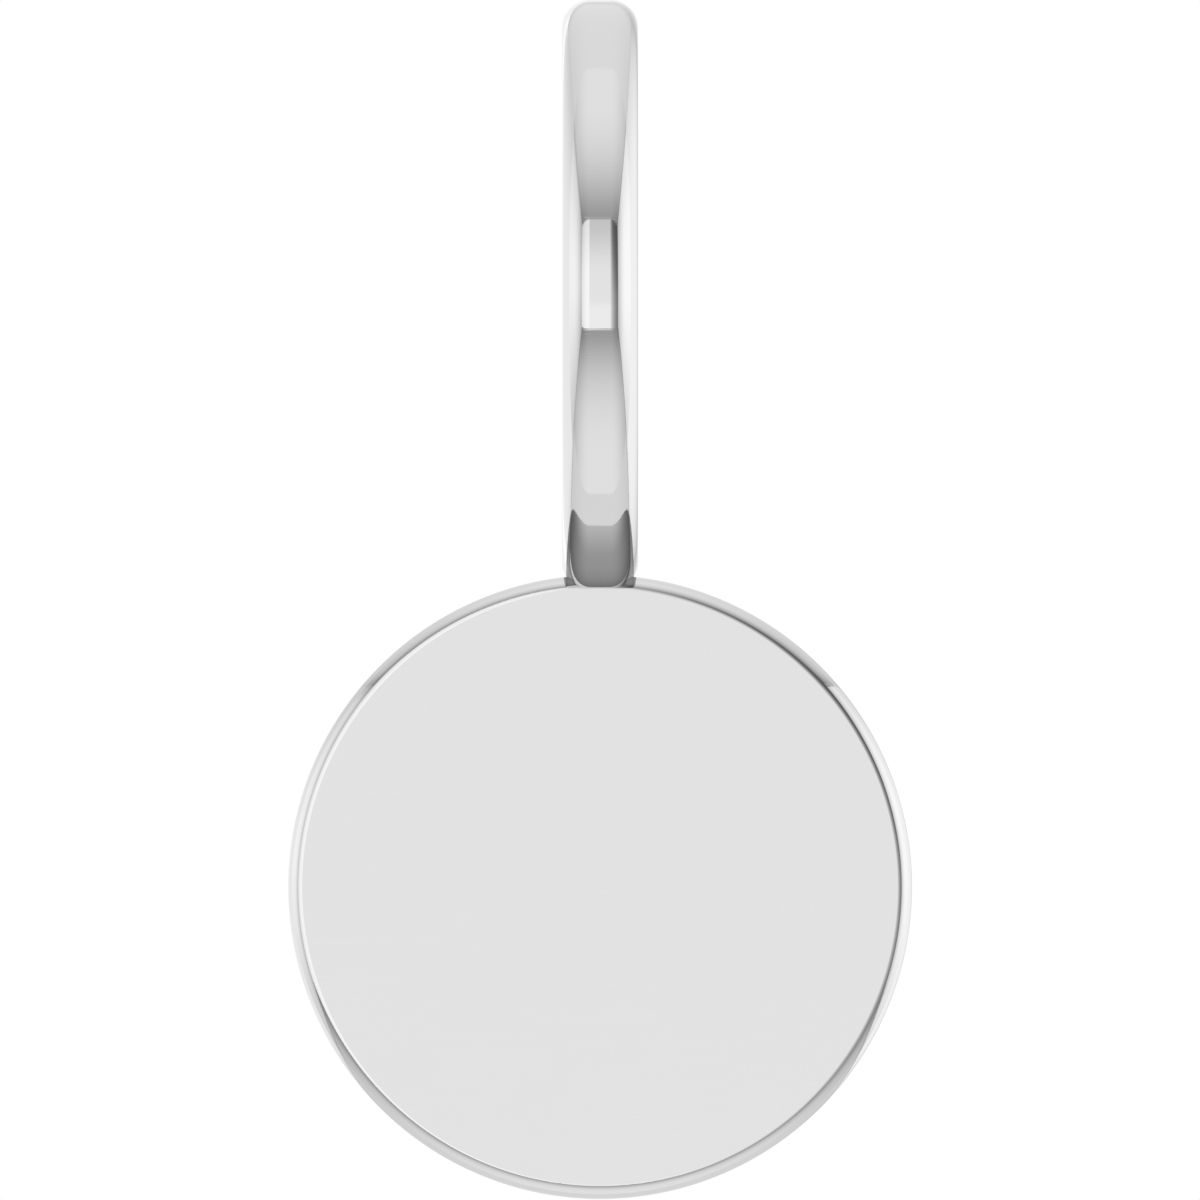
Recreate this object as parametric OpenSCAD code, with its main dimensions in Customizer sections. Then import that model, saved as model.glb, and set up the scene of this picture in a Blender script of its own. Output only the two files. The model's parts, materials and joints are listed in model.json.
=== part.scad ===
// Disc pendant: a round blank with rounded edges, hung from a large plain ring.
// The ring is seen edge-on when the disc is seen face-on, and is let into the disc's top edge.
// Frame: +Z up as it hangs, -Y towards whoever looks at the disc's face, +X to their right.
// The origin is the inside top of the ring, where a chain bears.

/* [Disc] */
// Diameter of the round blank
disc_diameter = 10; // [8:0.5:16]
// Thickness of the blank, from its front face to its back face
disc_thickness = 1; // [0.8:0.1:1.6]
// Radius of the rounding along both edges of the blank
disc_edge_round = 0.23; // [0.1:0.01:0.38]

/* [Ring] */
// Outer diameter of the ring
ring_diameter = 9.45; // [7:0.05:14]
// Wall of the ring, from its outer to its inner surface
ring_wall = 0.925; // [0.7:0.025:1.4]
// Width of the ring's band, from side to side
ring_width = 1.22; // [1:0.02:2]
// Radius of the rounding along both outer edges of the band
ring_outer_round = 0.45; // [0.1:0.01:0.48]
// Radius of the rounding along both inner edges of the band
ring_inner_round = 0.15; // [0.05:0.01:0.2]

/* [Seat] */
// Depth to which the ring is let into the top edge of the disc
seat_depth = 0.235; // [0.15:0.005:0.4]

/* [Hidden] */

// Least flat that is left between two rounded edges
least_flat = 0.02;

disc_radius = disc_diameter / 2;
disc_round = min(disc_edge_round, (disc_thickness - least_flat) / 2);

ring_radius = ring_diameter / 2;
bore_radius = ring_radius - ring_wall;
outer_round = min(ring_outer_round, (ring_width - least_flat) / 2);
inner_round = min(ring_inner_round, (ring_width - least_flat) / 2, ring_wall - outer_round - least_flat);

// Heights of the two centres below the origin
ring_centre_z = -bore_radius;
disc_centre_z = ring_centre_z - ring_radius - disc_radius + seat_depth;

metal_colour = [0.86, 0.86, 0.87];
$fn = 96;

// Half of a part that is turned round an axis: from one radius out to another, and width wide.
// Its corners on the near side of the axis and on the far side have roundings of their own.
module turned_section(near, far, width, near_round, far_round) {
    half = width / 2;
    translate([near + near_round, -half])
        square([far - far_round - near - near_round, width]);
    translate([far - far_round, far_round - half])
        square([far_round, width - 2 * far_round]);
    for (side = [-1, 1])
        translate([far - far_round, side * (half - far_round)])
            circle(r = far_round);
    if (near_round > 0) {
        translate([near, near_round - half])
            square([near_round, width - 2 * near_round]);
        for (side = [-1, 1])
            translate([near + near_round, side * (half - near_round)])
                circle(r = near_round);
    }
}

// The flat round blank, with its axis along Y
module disc_blank() {
    translate([0, 0, disc_centre_z])
        rotate([90, 0, 0])
            rotate_extrude()
                turned_section(0, disc_radius, disc_thickness, 0, disc_round);
}

// The plain ring, with its axis along X, so that it shows its edge from the front
module bail_ring() {
    translate([0, 0, ring_centre_z])
        rotate([0, 90, 0])
            rotate_extrude()
                turned_section(bore_radius, ring_radius, ring_width, inner_round, outer_round);
}

// The ring soldered into the blank's edge, which makes one solid of them
module disc_with_bail() {
    color(metal_colour)
        union() {
            disc_blank();
            bail_ring();
        }
}

disc_with_bail();
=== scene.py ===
"""The looks of a disc pendant: a mirror-polished round disc, soldered under a large plain ring.

Everything is in metres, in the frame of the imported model: +Z up as the pendant hangs, -Y out of the
disc's front face, and the origin at the inside top of the ring, where a chain bears.
"""

import json
import logging
import math
from collections.abc import Iterable, Mapping, Sequence
from dataclasses import dataclass, field
from enum import Enum

import bmesh
import bpy
from mathutils import Matrix, Vector


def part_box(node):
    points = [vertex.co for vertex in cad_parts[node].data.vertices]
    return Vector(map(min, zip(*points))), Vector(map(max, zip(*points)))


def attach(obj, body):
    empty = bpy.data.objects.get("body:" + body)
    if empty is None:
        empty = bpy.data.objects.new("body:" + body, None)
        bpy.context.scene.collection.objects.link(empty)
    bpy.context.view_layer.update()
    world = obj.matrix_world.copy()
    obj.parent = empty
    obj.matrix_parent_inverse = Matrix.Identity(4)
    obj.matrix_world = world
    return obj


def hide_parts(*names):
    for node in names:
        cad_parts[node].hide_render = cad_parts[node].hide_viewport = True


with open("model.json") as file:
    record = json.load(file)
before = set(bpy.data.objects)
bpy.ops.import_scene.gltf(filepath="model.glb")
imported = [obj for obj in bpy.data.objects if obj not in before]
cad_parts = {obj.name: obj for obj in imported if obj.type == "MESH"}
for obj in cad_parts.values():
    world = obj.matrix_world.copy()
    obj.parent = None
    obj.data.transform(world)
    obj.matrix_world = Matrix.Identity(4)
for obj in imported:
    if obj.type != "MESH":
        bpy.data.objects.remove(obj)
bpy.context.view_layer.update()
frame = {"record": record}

LOG = logging.getLogger("disc_pendant")
MM = 0.001
QUARTER_TURN = 90.0
NODE = "disc_with_bail"
PIECE = "polished_disc_and_ring"
SLOT = "polished_silver"
BODY = "root"
BORE_MOUNT = "chain_bore"

FIRST_MIRRORING = 1.0
SECOND_MIRRORING = 2.0

Colour = tuple[float, float, float, float]
BLACK: Colour = (0.0, 0.0, 0.0, 1.0)
WHITE: Colour = (1.0, 1.0, 1.0, 1.0)


class Axis(Enum):
    """The way that the axis of a turned form lies, as its index among X, Y and Z."""

    ACROSS = 0
    THROUGH = 1
    UPRIGHT = 2

    @property
    def others(self) -> tuple[int, int]:
        """The indexes of the two axes across this one. Angles go from the first to the second."""
        return (self.value + 1) % len(Axis), (self.value + 2) % len(Axis)

    def point(self, radius: float, height: float, angle: float) -> Vector:
        """Finds a point of a form that is turned round this axis.

        Args:
            radius: Distance from the axis.
            height: Distance along the axis.
            angle: Angle round the axis, in radians.

        Returns:
            The point, seen from the form's centre.
        """
        place = Vector()
        one, other = self.others
        place[self.value] = height
        place[one] = radius * math.cos(angle)
        place[other] = radius * math.sin(angle)
        return place


class Edge(Enum):
    """The four edges of a card, seen from in front of it."""

    START = "start"
    END = "end"
    BOTTOM = "bottom"
    TOP = "top"


class Shade:
    """A shader socket that takes part in Python expressions, each of which adds its node."""

    def __init__(self, bench: "NodeBench", socket: bpy.types.NodeSocket) -> None:
        """Wraps a socket.

        Args:
            bench: The bench that adds the nodes of an expression.
            socket: The output socket to wrap.
        """
        self.bench = bench
        self.socket = socket

    def _join(self, operation: str, first: object, second: object) -> "Shade":
        """Adds the node of one operation: Vector Math if either side is a vector, or else Math.

        Args:
            operation: The node's operation, such as ADD.
            first: A Shade, a number or a Vector.
            second: A Shade, a number or a Vector.

        Returns:
            The result as a Shade.
        """
        vector = any(
            isinstance(side, Vector) or (isinstance(side, Shade) and side.socket.type == "VECTOR")
            for side in (first, second)
        )
        kind = "ShaderNodeVectorMath" if vector else "ShaderNodeMath"
        node = self.bench.add(kind, {"operation": operation}, {0: first, 1: second})
        return Shade(self.bench, node.outputs[0])

    def __add__(self, other: object) -> "Shade":
        """Adds other."""
        return self._join("ADD", self, other)

    def __radd__(self, other: object) -> "Shade":
        """Adds this to other."""
        return self._join("ADD", other, self)

    def __sub__(self, other: object) -> "Shade":
        """Takes other away."""
        return self._join("SUBTRACT", self, other)

    def __rsub__(self, other: object) -> "Shade":
        """Takes this away from other."""
        return self._join("SUBTRACT", other, self)

    def __mul__(self, other: object) -> "Shade":
        """Multiplies by other."""
        return self._join("MULTIPLY", self, other)

    def __rmul__(self, other: object) -> "Shade":
        """Multiplies other by this."""
        return self._join("MULTIPLY", other, self)

    def __rpow__(self, other: float) -> "Shade":
        """Raises other to this power."""
        return self._join("POWER", other, self)

    def between(self, low: float, high: float) -> "Shade":
        """Holds this between two limits."""
        return self._join("MINIMUM", self._join("MAXIMUM", self, low), high)

    def length(self) -> "Shade":
        """Measures this vector."""
        return self.bench.shade("ShaderNodeVectorMath", {"operation": "LENGTH"}, {0: self}, "Value")

    def direction(self) -> "Shade":
        """Brings this vector to a length of 1."""
        return self.bench.shade("ShaderNodeVectorMath", {"operation": "NORMALIZE"}, {0: self})

    def parts(self) -> list["Shade"]:
        """Splits this vector into its X, Y and Z."""
        split = self.bench.add("ShaderNodeSeparateXYZ", None, {0: self})
        return [Shade(self.bench, socket) for socket in split.outputs]


class NodeBench:
    """A node tree under construction."""

    def __init__(self, tree: bpy.types.NodeTree) -> None:
        """Empties the tree.

        Args:
            tree: The tree of a material or of the world.
        """
        self.tree = tree
        tree.nodes.clear()

    def add(
        self,
        kind: str,
        settings: Mapping[str, object] | None = None,
        sockets: Mapping[str | int, object] | None = None,
    ) -> bpy.types.Node:
        """Adds one node: its settings first, then its sockets.

        Args:
            kind: The node's type.
            settings: Properties by name.
            sockets: Values, or Shades to link, by the socket's name or index.

        Returns:
            The node.
        """
        node = self.tree.nodes.new(kind)
        for name, value in (settings or {}).items():
            setattr(node, name, value)
        for name, value in (sockets or {}).items():
            if isinstance(value, Shade):
                self.tree.links.new(value.socket, node.inputs[name])
            else:
                node.inputs[name].default_value = value
        return node

    def shade(
        self,
        kind: str,
        settings: Mapping[str, object] | None = None,
        sockets: Mapping[str | int, object] | None = None,
        output: str | int = 0,
    ) -> Shade:
        """Adds one node as add() does, and wraps one of its outputs.

        Args:
            kind: The node's type.
            settings: Properties by name.
            sockets: Values or Shades by the socket's name or index.
            output: The output to wrap.

        Returns:
            The output as a Shade.
        """
        return Shade(self, self.add(kind, settings, sockets).outputs[output])

    def place(self) -> Shade:
        """Takes the place on the surface, in the frame of its object."""
        return self.shade("ShaderNodeTexCoord", output="Object")

    def remap(
        self,
        value: Shade,
        start: float,
        stop: float,
        low: float,
        high: Shade | float,
        smooth: bool = True,
    ) -> Shade:
        """Carries a value from one range to another, and holds it there past both ends.

        Args:
            value: The value to carry.
            start: Where the first range starts.
            stop: Where it stops.
            low: The result at start.
            high: The result at stop.
            smooth: Whether the way between eases in and out.

        Returns:
            The result.
        """
        return self.shade(
            "ShaderNodeMapRange",
            {"interpolation_type": "SMOOTHSTEP" if smooth else "LINEAR", "clamp": True},
            {"Value": value, "From Min": start, "From Max": stop, "To Min": low, "To Max": high},
        )

    def blend(self, share: Shade, first: Colour, second: Colour) -> Shade:
        """Blends two colours.

        Args:
            share: The share of the second colour.
            first: The first colour.
            second: The second colour.

        Returns:
            The blended colour.
        """
        node = self.add(
            "ShaderNodeMix", {"data_type": "RGBA", "clamp_factor": True}, {"Factor": share}
        )
        ends = [socket for socket in node.inputs if socket.type == "RGBA"]
        for end, colour in zip(ends, (first, second)):
            end.default_value = colour
        return Shade(self, next(socket for socket in node.outputs if socket.type == "RGBA"))


def new_material(name: str) -> tuple[bpy.types.Material, NodeBench]:
    """Starts a material that is made of nodes.

    Args:
        name: The material's name.

    Returns:
        The material, and the bench on its empty tree.
    """
    material = bpy.data.materials.new(name)
    material.use_nodes = True
    return material, NodeBench(material.node_tree)


def glowing(
    material: bpy.types.Material, bench: NodeBench, glow: Shade, level: float
) -> bpy.types.Material:
    """Finishes a material that only gives light of its own.

    Args:
        material: The material.
        bench: The bench on its tree.
        glow: The share of the level at each place, from 0 to 1.
        level: The light's level.

    Returns:
        The material.
    """
    shader = bench.shade(
        "ShaderNodeBsdfPrincipled",
        None,
        {
            "Base Color": BLACK,
            "Specular IOR Level": 0.0,
            "Emission Color": glow,
            "Emission Strength": level,
        },
    )
    bench.add("ShaderNodeOutputMaterial", None, {"Surface": shader})
    material.cycles.emission_sampling = "NONE"
    return material


def new_object(name: str, mesh: bpy.types.Mesh) -> bpy.types.Object:
    """Puts a mesh into the scene.

    Args:
        name: The object's name.
        mesh: The mesh it shows.

    Returns:
        The object.
    """
    thing = bpy.data.objects.new(name, mesh)
    bpy.context.scene.collection.objects.link(thing)
    return thing


def turned_mesh(
    name: str,
    outline: Sequence[tuple[float, float]],
    axis: Axis,
    centre: Vector,
    around: int,
    loop: bool,
    capped: bool,
) -> bpy.types.Mesh:
    """Turns an outline round an axis.

    Args:
        name: The mesh's name.
        outline: Points as radius and height.
        axis: The axis.
        centre: The form's centre.
        around: Number of steps round the axis.
        loop: Whether the outline closes on itself.
        capped: Whether flat faces close its two ends.

    Returns:
        The mesh, smooth and with its faces turned outwards.
    """
    shape = bmesh.new()
    rings = []
    for radius, height in outline:
        angles = (math.tau * step / around for step in range(around))
        rings.append([shape.verts.new(centre + axis.point(radius, height, a)) for a in angles])
    pairs = list(zip(rings, rings[1:]))
    if loop:
        pairs.append((rings[-1], rings[0]))
    for one, other in pairs:
        for step in range(around):
            after = (step + 1) % around
            shape.faces.new((one[step], one[after], other[after], other[step]))
    if capped:
        shape.faces.new(rings[0])
        shape.faces.new(rings[-1])
    bmesh.ops.recalc_face_normals(shape, faces=shape.faces)
    mesh = bpy.data.meshes.new(name)
    shape.to_mesh(mesh)
    shape.free()
    mesh.polygons.foreach_set("use_smooth", [True] * len(mesh.polygons))
    return mesh


@dataclass(frozen=True)
class TurnedSection:
    """Half of the section of a turned part, from one radius to another, with rounded corners."""

    near: float
    far: float
    width: float
    near_round: float
    far_round: float

    @property
    def hollow(self) -> bool:
        """Whether the part has a hole, which is rounded as well."""
        return self.near_round > 0

    def _corner(self, far: bool, up: bool) -> tuple[float, float, float]:
        """Finds one corner's rounding.

        Args:
            far: Whether it is a corner on the far side.
            up: Whether it is a corner on the upper side.

        Returns:
            The radius and height of the rounding's centre, and its own radius.
        """
        size = self.far_round if far else self.near_round
        radius = self.far - size if far else self.near + size
        height = self.width / 2 - size
        return radius, height if up else -height, size

    def outline(self, steps: int) -> list[tuple[float, float]]:
        """Lists the outline's points from the upper side, past the far side, to the lower side.

        Args:
            steps: Number of steps in each rounding.

        Returns:
            Points as radius and height. They go on round the near side if that has a rounding.
        """
        corners = [(True, True), (True, False)]
        if self.hollow:
            corners += [(False, False), (False, True)]
        points = []
        for number, (far, up) in enumerate(corners):
            radius, height, size = self._corner(far, up)
            for step in range(steps + 1):
                turn = math.radians(QUARTER_TURN * (1 - number - step / steps))
                points.append((radius + size * math.cos(turn), height + size * math.sin(turn)))
        return points

    def normal(self, radius: float, height: float) -> tuple[float, float]:
        """Finds which way the surface faces.

        Args:
            radius: Radius of a point on the surface.
            height: Its height.

        Returns:
            The direction out of the surface, as its share along the radius and the height.
        """
        far = not self.hollow or radius > (self.near + self.far) / 2
        edge, rise, _ = self._corner(far, True)
        core_radius = min(radius, edge) if far else max(radius, edge)
        core_height = max(-rise, min(rise, height))
        out, up = radius - core_radius, height - core_height
        length = math.hypot(out, up)
        return out / length, up / length


@dataclass(frozen=True)
class Turning:
    """A turned part where it lies in the pendant."""

    name: str
    section: TurnedSection
    axis: Axis
    centre: Vector
    around: int = 384
    steps: int = 16

    def build(self) -> bpy.types.Object:
        """Turns the part.

        Returns:
            The part, in its place.
        """
        mesh = turned_mesh(
            self.name,
            self.section.outline(self.steps),
            self.axis,
            self.centre,
            self.around,
            loop=self.section.hollow,
            capped=not self.section.hollow,
        )
        return new_object(self.name, mesh)

    def normal(self, point: Vector) -> Vector:
        """Finds which way the part's true surface faces.

        Args:
            point: A point on the surface.

        Returns:
            The direction out of the surface.
        """
        seen = point - self.centre
        one, other = (seen[index] for index in self.axis.others)
        out, along = self.section.normal(math.hypot(one, other), seen[self.axis.value])
        return self.axis.point(out, along, math.atan2(other, one))


@dataclass(frozen=True)
class PolishedSilver:
    """Silver buffed to a mirror: faint hairlines, and duller and a little darker where it was
    soldered or is rubbed; the darker colour round the solder is painted shade in the crevice between
    disc and ring.
    """

    colour: Colour = (0.8, 0.8, 0.8, 1.0)
    # The colour of wear, and of the painted shade round the solder joint.
    worn_and_shaded_colour: Colour = (0.785, 0.785, 0.785, 1.0)
    roughness: float = 0.04
    cloud_size: float = 1.6 * MM
    cloud_detail: float = 3.0
    cloud_graininess: float = 0.55
    cloud_middle: float = 0.5
    cloud_roughness: float = 0.02
    wear_start: float = 0.45
    wear_full: float = 0.8
    wear_share: float = 0.35
    ripple_height: float = 0.0004 * MM
    hairline_length: float = 2.0 * MM
    hairline_width: float = 0.03 * MM
    hairline_depth: float = 0.00006 * MM
    hairline_roughness: float = 0.02
    hairline_detail: float = 1.0
    hairline_start: float = 0.6
    hairline_full: float = 0.72
    hairline_turns: tuple[float, ...] = (20.0, 75.0, 140.0)
    # How far the dull polish, and the painted shade round the solder joint, reach from their spots.
    dull_and_shade_reach: float = 1.1 * MM
    dull_roughness: float = 0.06

    def material(self, dull_and_shaded_spots: Iterable[Vector]) -> bpy.types.Material:
        """Makes the finish.

        Args:
            dull_and_shaded_spots: Places round which the polish is duller and its colour a little
                darker, which round the solder joint is painted shade.

        Returns:
            The material.
        """
        material, bench = new_material(SLOT)
        place = bench.place()
        clouds = bench.shade(
            "ShaderNodeTexNoise",
            {"noise_dimensions": "3D"},
            {
                "Vector": place,
                "Scale": 1 / self.cloud_size,
                "Detail": self.cloud_detail,
                "Roughness": self.cloud_graininess,
            },
        )
        dullness_and_shade = self._dullness_and_shade(bench, place, dull_and_shaded_spots)
        hairlines = self._hairlines(bench, place)
        roughness = (
            self.roughness
            + (clouds - self.cloud_middle) * self.cloud_roughness
            + hairlines * self.hairline_roughness
            + dullness_and_shade * self.dull_roughness
        )
        # Wear from the clouds and the chain's rub darkens the colour a little, as does a painted
        # shade round the solder joint, in the crevice between disc and ring.
        worn_and_shaded = bench.remap(clouds, self.wear_start, self.wear_full, 0.0, self.wear_share) + dullness_and_shade
        colour = bench.blend(worn_and_shaded, self.colour, self.worn_and_shaded_colour)
        height = clouds * self.ripple_height + hairlines * self.hairline_depth
        bump = bench.shade(
            "ShaderNodeBump", None, {"Height": height, "Strength": 1.0, "Distance": 1.0}
        )
        shader = bench.shade(
            "ShaderNodeBsdfPrincipled",
            None,
            {"Base Color": colour, "Metallic": 1.0, "Roughness": roughness, "Normal": bump},
        )
        bench.add("ShaderNodeOutputMaterial", None, {"Surface": shader})
        return material

    def _dullness_and_shade(self, bench: NodeBench, place: Shade, spots: Iterable[Vector]) -> Shade:
        """Finds how dull the polish is and how much its colour darkens, which round the solder joint
        is painted shade: 1 at the spots and 0 away from them.

        Args:
            bench: The bench of the material.
            place: Where the surface is.
            spots: The spots: the chain's rub, and the solder joint with its painted shade.

        Returns:
            The dullness, which also sets the painted shade.
        """
        shares = [
            bench.remap((place - spot).length(), 0.0, self.dull_and_shade_reach, 1.0, 0.0) for spot in spots
        ]
        return sum(shares[1:], shares[0])

    def _hairlines(self, bench: NodeBench, place: Shade) -> Shade:
        """Draws the faint straight marks that a buffing wheel leaves, in a few directions.

        Args:
            bench: The bench of the material.
            place: Where the surface is.

        Returns:
            The height of the marks, from 0 to about 1.
        """
        stretch = self.hairline_length / self.hairline_width
        marks = []
        for turn in self.hairline_turns:
            angle = math.radians(turn)
            laid = bench.shade(
                "ShaderNodeMapping",
                {"vector_type": "POINT"},
                {
                    "Vector": place,
                    "Rotation": (angle, angle, angle),
                    "Scale": (1.0, stretch, stretch),
                },
            )
            streak = bench.shade(
                "ShaderNodeTexNoise",
                {"noise_dimensions": "3D"},
                {"Vector": laid, "Scale": 1 / self.hairline_length, "Detail": self.hairline_detail},
            )
            marks.append(bench.remap(streak, self.hairline_start, self.hairline_full, 0.0, 1.0))
        return sum(marks[1:], marks[0])


@dataclass
class Pendant:
    """The pendant itself: the disc blank and the ring, soldered into one solid."""

    disc_diameter: float
    ring_diameter: float
    bore_radius: float
    ring_centre: Vector
    disc_centre: Vector
    disc_thickness: float = 1.0 * MM
    disc_edge_round: float = 0.23 * MM
    ring_width: float = 1.22 * MM
    ring_outer_round: float = 0.45 * MM
    ring_inner_round: float = 0.15 * MM
    finish: PolishedSilver = field(default_factory=PolishedSilver)

    @classmethod
    def from_frame(cls, record: Mapping[str, object]) -> "Pendant":
        """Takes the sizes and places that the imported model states.

        Args:
            record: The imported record.

        Returns:
            The pendant, not built yet.
        """
        low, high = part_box(NODE)
        bore = next(mount for mount in record["mounts"] if mount["name"] == BORE_MOUNT)
        disc_diameter = 2 * max(high.x, -low.x)
        return cls(
            disc_diameter=disc_diameter,
            ring_diameter=high.y - low.y,
            bore_radius=bore["dims"]["r_mm"] * MM,
            ring_centre=Vector(bore["pos_m"]),
            disc_centre=Vector((0.0, 0.0, low.z + disc_diameter / 2)),
        )

    def disc_blank(self) -> Turning:
        """Lays out the round blank, with its axis from front to back.

        Returns:
            The blank, not turned yet.
        """
        radius = self.disc_diameter / 2
        section = TurnedSection(0.0, radius, self.disc_thickness, 0.0, self.disc_edge_round)
        return Turning("disc_blank", section, Axis.THROUGH, self.disc_centre)

    def bail_ring(self) -> Turning:
        """Lays out the ring, with its axis across, so that it shows its edge from the front.

        Returns:
            The ring, not turned yet.
        """
        section = TurnedSection(
            self.bore_radius,
            self.ring_diameter / 2,
            self.ring_width,
            self.ring_inner_round,
            self.ring_outer_round,
        )
        return Turning("bail_ring", section, Axis.ACROSS, self.ring_centre)

    def solder_point(self) -> Vector:
        """Finds the middle of the soldered joint, at the top of the disc."""
        return self.disc_centre + Vector((0.0, 0.0, self.disc_diameter / 2))

    def build(self) -> bpy.types.Object:
        """Turns both parts, solders them together and polishes them.

        Returns:
            The finished piece, riding on the pendant's body.
        """
        mesh = self._solder([self.disc_blank(), self.bail_ring()])
        piece = new_object(PIECE, mesh)
        chain_rub = Vector()
        # Round the solder point the colour darkens as painted shade in the crevice; round the chain's
        # rub it is real wear.
        mesh.materials.append(self.finish.material([self.solder_point(), chain_rub]))
        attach(piece, BODY)
        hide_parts(NODE)
        LOG.info("%s: %d faces, %s", piece.name, len(mesh.polygons), self._closed(mesh))
        return piece

    def _solder(self, parts: Sequence[Turning]) -> bpy.types.Mesh:
        """Joins two parts into one skin, with the true surface's direction at every corner.

        Args:
            parts: The blank and the ring, not turned yet.

        Returns:
            The joined mesh, with no material yet.
        """
        marks = [bpy.data.materials.new(part.name) for part in parts]
        blank, ring = turned = [part.build() for part in parts]
        for number, made in enumerate(turned):
            for mark in marks:
                made.data.materials.append(mark)
            made.data.polygons.foreach_set("material_index", [number] * len(made.data.polygons))
        union = blank.modifiers.new("solder", "BOOLEAN")
        union.operation = "UNION"
        union.solver = "EXACT"
        union.object = ring
        depsgraph = bpy.context.evaluated_depsgraph_get()
        mesh = bpy.data.meshes.new_from_object(blank.evaluated_get(depsgraph))
        mesh.name = PIECE
        for made in turned:
            bpy.data.meshes.remove(made.data)
        normals = [Vector()] * len(mesh.loops)
        for face in mesh.polygons:
            part = parts[face.material_index]
            for corner in face.loop_indices:
                normals[corner] = part.normal(mesh.vertices[mesh.loops[corner].vertex_index].co)
        mesh.materials.clear()
        for mark in marks:
            bpy.data.materials.remove(mark)
        mesh.polygons.foreach_set("material_index", [0] * len(mesh.polygons))
        mesh.polygons.foreach_set("use_smooth", [True] * len(mesh.polygons))
        mesh.normals_split_custom_set(normals)
        return mesh

    @staticmethod
    def _closed(mesh: bpy.types.Mesh) -> str:
        """Says whether every edge of the mesh lies between two faces.

        Args:
            mesh: The mesh.

        Returns:
            Words for the log.
        """
        shape = bmesh.new()
        shape.from_mesh(mesh)
        open_edges = sum(not edge.is_manifold for edge in shape.edges)
        shape.free()
        return f"{open_edges} open edges" if open_edges else "closed"


@dataclass(frozen=True)
class Fall:
    """How a card's light falls off towards one edge: by a share at the edge, over a reach from it.

    A share below nought makes the edge brighter instead.
    """

    edge: Edge
    share: float
    reach: float


@dataclass(frozen=True)
class Lining:
    """How a card is lit: its level away from its edges, and how that falls off towards some.

    What the metal mirrors a second time, in its own corners, gets only a share of that light,
    which may fall off towards some edges as well.
    """

    level: float
    falls: tuple[Fall, ...] = ()
    second_share: float = 0.5
    second_falls: tuple[Fall, ...] = ()


@dataclass(frozen=True)
class Card:
    """A lit card of the light tent: a rectangle that only the metal sees."""

    name: str
    corner: Vector
    along: Vector
    rise: Vector
    lining: Lining

    def build(self) -> bpy.types.Object:
        """Cuts the card, places it and lights it.

        Returns:
            The card, which is part of the stage.
        """
        width, height = self.along.length, self.rise.length
        mesh = bpy.data.meshes.new(self.name)
        corners = [(0, 0, 0), (width, 0, 0), (width, height, 0), (0, height, 0)]
        mesh.from_pydata(corners, [], [(0, 1, 2, 3)])
        mesh.materials.append(self._material())
        card = new_object(self.name, mesh)
        axes = (self.along.normalized(), self.rise.normalized())
        turn = Matrix((*axes, axes[0].cross(axes[1]))).transposed()
        card.matrix_world = Matrix.Translation(self.corner) @ turn.to_4x4()
        card.visible_camera = False
        card.visible_diffuse = False
        card.visible_shadow = False
        return card

    def _material(self) -> bpy.types.Material:
        """Makes the card's own light, which is dimmer where the metal mirrors itself.

        Returns:
            The material.
        """
        material, bench = new_material(self.name)
        right, up, _ = bench.place().parts()
        mirrorings = bench.shade("ShaderNodeLightPath", output="Glossy Depth")
        second = self._fall_off(bench, self.lining.second_falls, right, up)
        second = second * self.lining.second_share
        share = bench.remap(mirrorings, FIRST_MIRRORING, SECOND_MIRRORING, 1.0, second)
        return glowing(material, bench, share * self.glow(bench, right, up), self.lining.level)

    def glow(self, bench: NodeBench, right: Shade, up: Shade) -> Shade | float:
        """Shares the card's light out over it.

        Args:
            bench: The bench of the material.
            right: Distance from the card's start.
            up: Distance from its bottom.

        Returns:
            The share of the card's level, from 0 to 1.
        """
        return self._fall_off(bench, self.lining.falls, right, up)

    def _fall_off(
        self, bench: NodeBench, falls: Sequence[Fall], right: Shade, up: Shade
    ) -> Shade | float:
        """Combines the falls towards the card's edges.

        Args:
            bench: The bench of the material.
            falls: The falls.
            right: Distance from the card's start.
            up: Distance from its bottom.

        Returns:
            The share that they leave at each place.
        """
        width, height = self.along.length, self.rise.length
        gaps = {
            Edge.START: (right, 0.0, 1.0),
            Edge.END: (right, width, -1.0),
            Edge.BOTTOM: (up, 0.0, 1.0),
            Edge.TOP: (up, height, -1.0),
        }
        left_over = 1.0
        for fall in falls:
            distance, start, sign = gaps[fall.edge]
            stop = start + sign * fall.reach
            share = bench.remap(distance, start, stop, 1 - fall.share, 1.0)
            left_over = share * left_over
        return left_over


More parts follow.
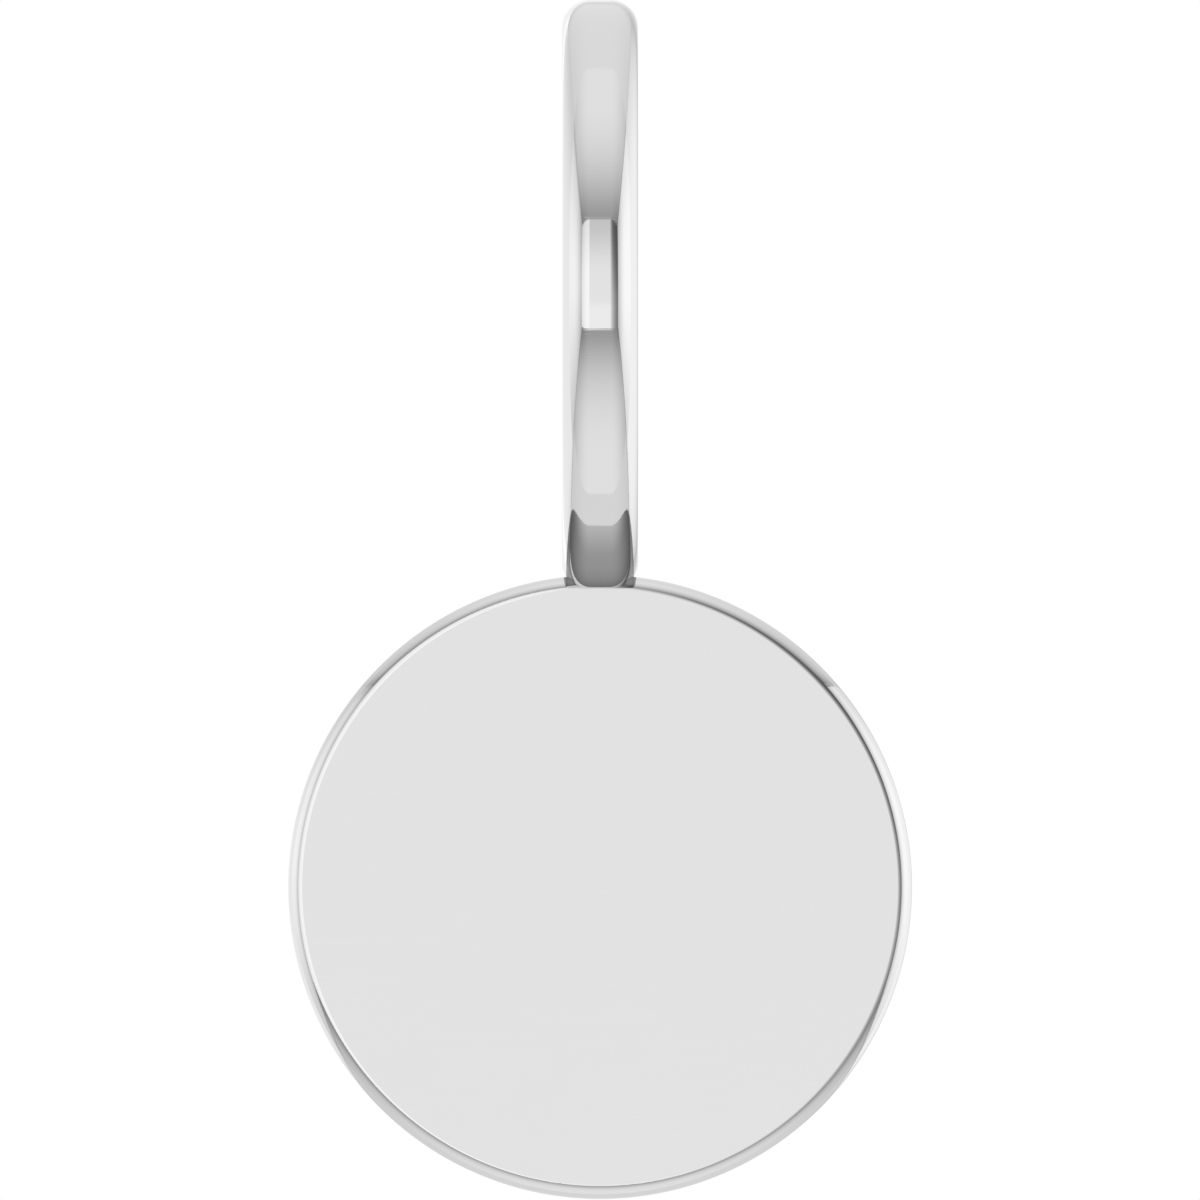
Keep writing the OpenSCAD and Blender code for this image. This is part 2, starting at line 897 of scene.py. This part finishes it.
@dataclass(frozen=True)
class SplitCard(Card):
    """The card behind the camera: bright on the left, and halving again and again to the right."""

    bright: float = 0.95
    middle: float = 0.792
    dark: float = 0.1
    even_half: float = 0.008
    half_distance: float = 0.08
    crowding: float = 1.75
    crowding_start: float = 0.1
    top_start: float = 0.17
    top_full: float = 0.335
    top_fall: float = 0.17
    low_start: float = 0.095
    low_full: float = 0.06
    low_rise: float = 0.1

    def glow(self, bench: NodeBench, right: Shade, up: Shade) -> Shade:
        """Shares the card's light out over it.

        Args:
            bench: The bench of the material.
            right: Distance from the card's start.
            up: Distance from its bottom.

        Returns:
            The share of the card's level, from 0 to 1.
        """
        crowding = bench.remap(
            up, self.crowding_start, self.top_full, 1.0, 1 + self.crowding, smooth=False
        )
        top = bench.remap(up, self.top_start, self.top_full, 1.0, 1 - self.top_fall)
        low = bench.remap(up, self.low_start, self.low_full, 0.0, self.low_rise)
        across = right - self.along.length / 2
        spread = across - across.between(-self.even_half, self.even_half)
        halvings = spread * crowding * (1 / self.half_distance)
        spill = 0.5 ** halvings * (top + low) * (self.middle - self.dark) + self.dark
        return spill.between(0.0, self.bright) * super().glow(bench, right, up)


class Side(Enum):
    """The four long sides of the light tent."""

    LEFT = "left"
    RIGHT = "right"
    CEILING = "ceiling"
    FLOOR = "floor"


@dataclass(frozen=True)
class Run:
    """How one long side is lined: a card in front and one behind, which meet at a seam."""

    side: Side
    seam: float
    front: Lining
    rear: Lining


def deck_sides(
    share: float, reach: float = 0.28, seam_share: float = 0.25, seam_reach: float = 0.04
) -> tuple[Fall, ...]:
    """Lists how a ceiling or floor card falls off towards both of its sides.

    Args:
        share: How much it falls off on the whole way from its middle.
        reach: How far that reaches from the sides.
        seam_share: How much more it falls off in the seam along each side.
        seam_reach: How wide that seam is.

    Returns:
        The falls.
    """
    return tuple(
        Fall(edge, *fall)
        for edge in (Edge.START, Edge.END)
        for fall in ((share, reach), (seam_share, seam_reach))
    )


def wall(
    level: float, length_fall: Fall, ends: tuple[Fall, ...], second_share: float = 0.3
) -> Lining:
    """Lists how a wall card is lit.

    Args:
        level: Its level.
        length_fall: How it falls off along the tent.
        ends: How it falls off towards its top and bottom.
        second_share: The share that a second mirroring gets.

    Returns:
        The lining.
    """
    return Lining(level, (length_fall, *ends), second_share)


LEFT_ENDS = (
    Fall(Edge.TOP, share=0.25, reach=0.22),
    Fall(Edge.BOTTOM, share=0.34, reach=0.22),
)
LEFT_SEAM = Fall(Edge.TOP, share=0.3, reach=0.045)
RIGHT_ENDS = (
    Fall(Edge.TOP, share=0.17, reach=0.18),
    Fall(Edge.BOTTOM, share=0.23, reach=0.2),
)
RUNS = (
    Run(
        Side.LEFT,
        seam=0.025,
        front=wall(1.1, Fall(Edge.START, share=0.37, reach=0.32), (*LEFT_ENDS, LEFT_SEAM)),
        rear=wall(1.0, Fall(Edge.END, share=-0.2, reach=0.3), LEFT_ENDS),
    ),
    Run(
        Side.RIGHT,
        seam=0.025,
        front=wall(1.17, Fall(Edge.START, share=0.37, reach=0.32), RIGHT_ENDS),
        rear=wall(1.09, Fall(Edge.END, share=0.3, reach=0.75), RIGHT_ENDS),
    ),
    Run(
        Side.CEILING,
        seam=0.04,
        front=Lining(
            level=0.92,
            falls=(Fall(Edge.BOTTOM, share=0.58, reach=0.4), *deck_sides(share=0.25)),
        ),
        rear=Lining(
            level=0.86,
            falls=(Fall(Edge.TOP, share=0.15, reach=0.4), *deck_sides(share=0.1, seam_share=0.1)),
        ),
    ),
    Run(
        Side.FLOOR,
        seam=-0.019,
        front=Lining(
            level=0.92,
            falls=(Fall(Edge.BOTTOM, share=0.58, reach=0.36), *deck_sides(share=0.34)),
            second_falls=(
                Fall(Edge.TOP, share=-0.5, reach=0.1),
                Fall(Edge.START, share=0.85, reach=0.286),
                Fall(Edge.END, share=0.85, reach=0.286),
            ),
        ),
        rear=Lining(
            level=0.82,
            falls=(Fall(Edge.TOP, share=0.15, reach=0.4), *deck_sides(share=0.1)),
        ),
    ),
)


@dataclass
class LightTent:
    """A long white light tent round the pendant, which is what the mirror finish shows.

    Its lengths are measured from the ring's centre.
    """

    centre: Vector
    front: float = -0.43
    back: float = 0.86
    half_width: float = 0.286
    ceiling_front: float = 0.245
    ceiling_slope: float = 0.02
    floor_front: float = 0.103
    floor_slope: float = 0.195
    runs: tuple[Run, ...] = RUNS
    front_lining: Lining = Lining(
        level=1.2,
        falls=(Fall(Edge.START, share=0.15, reach=0.2), Fall(Edge.TOP, share=0.16, reach=0.2)),
        second_share=0.75,
    )
    back_lining: Lining = Lining(
        level=0.95,
        falls=(Fall(Edge.START, share=-0.2, reach=0.15), Fall(Edge.END, share=0.4, reach=0.35)),
    )

    def _floor(self, y: float) -> float:
        """Finds the height of the tent's sloping floor at a distance behind the pendant."""
        return -self.floor_front - self.floor_slope * (y - self.front)

    def _ceiling(self, y: float) -> float:
        """Finds the height of its ceiling there, which slopes down as well."""
        return self.ceiling_front - self.ceiling_slope * (y - self.front)

    def _card(
        self,
        name: str,
        corner: tuple[float, float, float],
        along: tuple[float, float, float],
        rise: tuple[float, float, float],
        lining: Lining,
        kind: type[Card] = Card,
    ) -> Card:
        """Lays out a card.

        Args:
            name: Its name.
            corner: The corner where its start meets its bottom.
            along: The way from its start to its end.
            rise: The way from its bottom to its top.
            lining: How it is lit.
            kind: The kind of card.

        Returns:
            The card, placed round the tent's centre.
        """
        return kind(name, self.centre + Vector(corner), Vector(along), Vector(rise), lining)

    def _end_card(self, name: str, y: float, lining: Lining, kind: type[Card]) -> Card:
        """Lays out the card across one end of the tent.

        Args:
            name: Its name.
            y: How far behind the pendant it stands.
            lining: How it is lit.
            kind: The kind of card.

        Returns:
            The card.
        """
        low, width = self._floor(y), 2 * self.half_width
        corner, rise = (-self.half_width, y, low), (0.0, 0.0, self._ceiling(y) - low)
        return self._card(name, corner, (width, 0.0, 0.0), rise, lining, kind)

    def _side_card(self, side: Side, name: str, start: float, stop: float, lining: Lining) -> Card:
        """Lays out a card that lines part of one long side.

        Args:
            side: The side.
            name: The card's name.
            start: Where it starts, in front.
            stop: Where it stops, behind.
            lining: How it is lit.

        Returns:
            The card.
        """
        width, length = 2 * self.half_width, stop - start
        if side in (Side.LEFT, Side.RIGHT):
            x = -self.half_width if side is Side.LEFT else self.half_width
            low, high = self._floor(stop), self._ceiling(start)
            corner, rise = (x, start, low), (0.0, 0.0, high - low)
            return self._card(name, corner, (0.0, length, 0.0), rise, lining)
        height = self._floor if side is Side.FLOOR else self._ceiling
        corner = (-self.half_width, start, height(start))
        rise = (0.0, length, height(stop) - height(start))
        return self._card(name, corner, (width, 0.0, 0.0), rise, lining)

    def cards(self) -> list[Card]:
        """Lays out all the cards.

        Returns:
            The cards: one at each end of the tent, and two along each of its long sides.
        """
        cards = [
            self._end_card("front_card", self.front, self.front_lining, SplitCard),
            self._end_card("back_card", self.back, self.back_lining, Card),
        ]
        for run in self.runs:
            for part, start, stop, lining in (
                ("front", self.front, run.seam, run.front),
                ("rear", run.seam, self.back, run.rear),
            ):
                name = f"{run.side.value}_{part}"
                cards.append(self._side_card(run.side, name, start, stop, lining))
        return cards

    def build(self) -> None:
        """Puts up the tent."""
        for card in self.cards():
            LOG.info("stage %s", card.build().name)


@dataclass
class Cove:
    """The plain pale floor, which sweeps up into a wall all round.

    It is white but for its two sides, where a pale grey shows up the bright flanks of the ring.
    """

    floor: float = -0.16
    flat_radius: float = 0.5
    sweep: float = 0.3
    height: float = 0.9
    middle_radius: float = 0.001
    around: int = 96
    sweep_steps: int = 24
    level: float = 1.0
    white: float = 1.0
    side_grey: float = 0.68
    white_to: float = 0.5
    grey_from: float = 0.9

    def build(self) -> bpy.types.Object:
        """Builds the floor and lights it evenly.

        Returns:
            The floor, which is part of the stage.
        """
        outline = [(self.middle_radius, self.floor), (self.flat_radius, self.floor)]
        for step in range(1, self.sweep_steps + 1):
            turn = math.radians(QUARTER_TURN * step / self.sweep_steps)
            radius = self.flat_radius + self.sweep * math.sin(turn)
            outline.append((radius, self.floor + self.sweep * (1 - math.cos(turn))))
        outline.append((self.flat_radius + self.sweep, self.height))
        mesh = turned_mesh(
            "pale_floor", outline, Axis.UPRIGHT, Vector(), self.around, loop=False, capped=False
        )
        mesh.materials.append(self._material())
        floor = new_object("pale_floor", mesh)
        floor.visible_glossy = False
        LOG.info("stage %s", floor.name)
        return floor

    def _material(self) -> bpy.types.Material:
        """Makes the floor's light, by how far to one side of the pendant a place lies.

        Returns:
            The material.
        """
        material, bench = new_material("pale_floor")
        across = bench.place().direction().parts()[Axis.ACROSS.value]
        tone = bench.remap(
            across * across, self.white_to, self.grey_from, self.white, self.side_grey
        )
        return glowing(material, bench, tone, self.level)


@dataclass
class StudioCamera:
    """A camera straight in front of the disc's face, so far off that it sees no perspective."""

    picture_width: float = 19.231 * MM
    height: float = -8.689 * MM
    distance: float = 0.2
    clip_start: float = 0.01
    clip_end: float = 10.0

    def build(self) -> bpy.types.Object:
        """Makes the camera and hands the scene over to it.

        Returns:
            The camera.
        """
        data = bpy.data.cameras.new("studio_camera")
        data.type = "ORTHO"
        data.ortho_scale = self.picture_width
        data.clip_start = self.clip_start
        data.clip_end = self.clip_end
        camera = bpy.data.objects.new("studio_camera", data)
        bpy.context.scene.collection.objects.link(camera)
        camera.location = (0.0, -self.distance, self.height)
        camera.rotation_euler = (math.radians(QUARTER_TURN), 0.0, 0.0)
        bpy.context.scene.camera = camera
        return camera


def light_the_world(level: float = 1.0) -> None:
    """Gives the world an even white light, and has tones shown as they are.

    Args:
        level: The light's level.
    """
    scene = bpy.context.scene
    scene.world = bpy.data.worlds.new("even_white")
    scene.world.use_nodes = True
    bench = NodeBench(scene.world.node_tree)
    light = bench.shade("ShaderNodeBackground", None, {"Color": WHITE, "Strength": level})
    bench.add("ShaderNodeOutputWorld", None, {"Surface": light})
    scene.view_settings.view_transform = "Standard"


def main() -> None:
    """Builds the pendant, its studio and the camera."""
    logging.basicConfig(level=logging.INFO, format="%(name)s: %(message)s")
    pendant = Pendant.from_frame(frame["record"])
    pendant.build()
    LightTent(pendant.ring_centre).build()
    Cove().build()
    light_the_world()
    StudioCamera().build()


if __name__ == "__main__":
    main()
